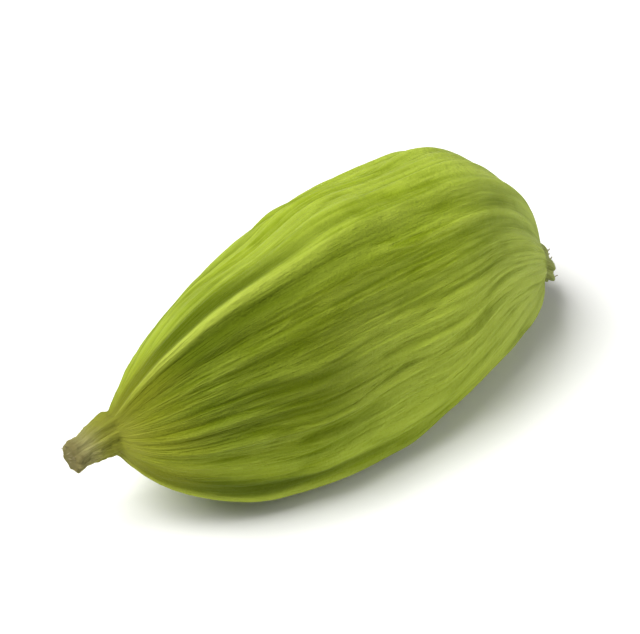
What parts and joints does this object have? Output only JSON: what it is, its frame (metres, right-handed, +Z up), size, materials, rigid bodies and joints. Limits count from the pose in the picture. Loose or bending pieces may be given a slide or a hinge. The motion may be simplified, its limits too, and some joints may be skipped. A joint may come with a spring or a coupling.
{
  "type": "green cardamom pod",
  "caption": "Dried green cardamom pod: a closed three-sided husk with lengthwise ribs, a stalk stub and a short beak, resting on a small flat spot.",
  "frame": {"origin": "middle of the box's floor: under the pod, on the surface it rests on", "axes": "+X along the pod from its stalk to its beak, +Y across it, +Z up from the surface it rests on"},
  "size_m": [0.0174, 0.0082, 0.0078],
  "materials": {
    "husk": "dry, fibrous, satin, green with paler yellow-green ribs"
  },
  "bodies": {
    "root": {"cardamom_pod": "husk"}
  },
  "joints": []
}
